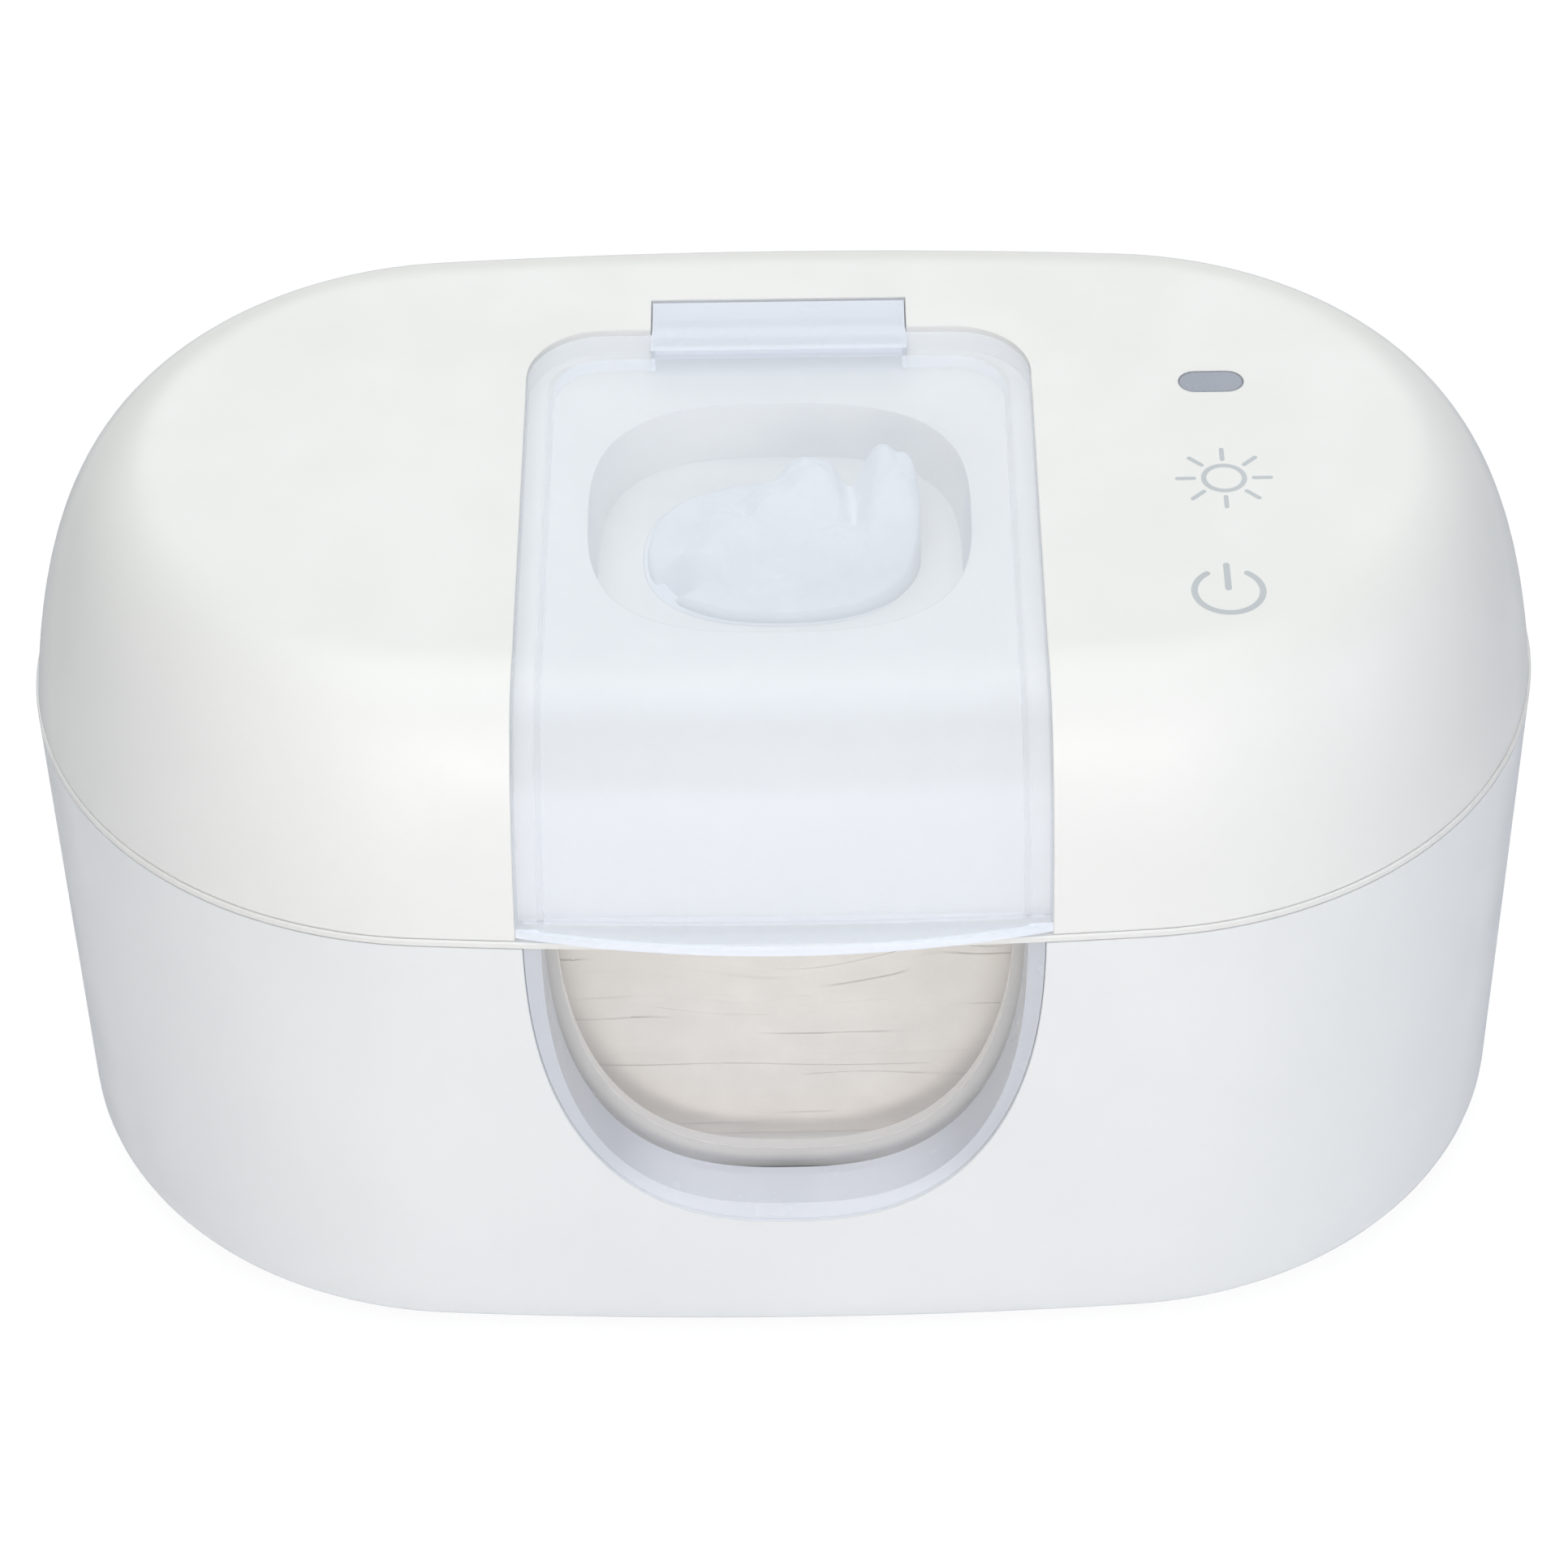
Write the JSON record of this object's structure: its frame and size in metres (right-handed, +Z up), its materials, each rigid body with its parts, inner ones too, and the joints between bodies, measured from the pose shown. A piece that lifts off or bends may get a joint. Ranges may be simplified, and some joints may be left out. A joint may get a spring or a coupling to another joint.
{
  "type": "wipe warmer",
  "caption": "Oval countertop wipe warmer with a rear-hinged domed cover, a see-through flip lid over the dispensing mouth and a round-bottomed front window.",
  "frame": {"origin": "centre of the outline's bounding box, on the surface that the rubber feet stand on", "axes": "+X to the right seen from the front, -Y towards the front with the window, +Z up"},
  "size_m": [0.236, 0.1512, 0.1295],
  "materials": {
    "casing_plastic": "fine satin",
    "cover_plastic": "fine satin",
    "tank_plastic": "translucent, softly glossy",
    "clear_plastic": "clear with a faint blue tint",
    "lens_plastic": "smoked, smooth",
    "grey_rubber": "matte",
    "mouth_silicone": "soft matte silicone",
    "steel": "zinc plated",
    "aluminium": "rolled sheet",
    "heater_film": "polyimide film",
    "foam": "felt-like insulation",
    "circuit_board": "solder mask",
    "black_plastic": "moulded",
    "wire": "smooth sleeve",
    "wipe_cloth": "soft non-woven"
  },
  "bodies": {
    "base": {"base_casing": "casing_plastic", "bottom_plate": "casing_plastic", "rubber_foot_1": "grey_rubber", "rubber_foot_2": "grey_rubber", "rubber_foot_3": "grey_rubber", "rubber_foot_4": "grey_rubber", "base_screw_1": "steel", "base_screw_2": "steel", "base_screw_3": "steel", "base_screw_4": "steel", "board_screw_1": "steel", "board_screw_2": "steel", "viewing_window": "clear_plastic", "window_gasket": "grey_rubber", "wipe_tank": "tank_plastic", "heat_spreader": "aluminium", "heater_film": "heater_film", "insulation_pad": "foam", "thermal_fuse": "steel", "temperature_sensor": "black_plastic", "main_board": "circuit_board", "power_jack": "black_plastic", "base_contact_block": "black_plastic", "heater_lead": "wire", "sensor_lead": "wire", "contact_lead": "wire", "hinge_pin_left": "steel", "hinge_pin_right": "steel", "wipe_stack": "wipe_cloth"},
    "cover": {"top_cover": "cover_plastic", "cover_liner": "cover_plastic", "cover_seal": "grey_rubber", "dispensing_mouth": "mouth_silicone", "touch_board": "circuit_board", "touch_spring_power": "steel", "touch_spring_light": "steel", "status_lens": "lens_plastic", "cover_contact_block": "black_plastic", "lamp_board": "circuit_board", "lamp_diffuser": "clear_plastic", "liner_screw_1": "steel", "liner_screw_2": "steel", "liner_screw_3": "steel", "liner_screw_4": "steel", "touch_screw_1": "steel", "touch_screw_2": "steel", "cover_lead": "wire", "lid_hinge_pin": "steel", "wipe_tuft": "wipe_cloth"},
    "lid": {"flip_lid": "clear_plastic"}
  },
  "joints": [
    {"name": "cover_hinge", "type": "hinge", "parent": "base", "child": "cover", "pos_m": [0, 0.0701, 0.08915], "axis": [-1, 0, 0], "range_deg": [0, 100]},
    {"name": "lid_hinge", "type": "hinge", "parent": "cover", "child": "lid", "pos_m": [0, 0.0302, 0.1259], "axis": [-1, 0, 0], "range_deg": [0, 100]}
  ]
}
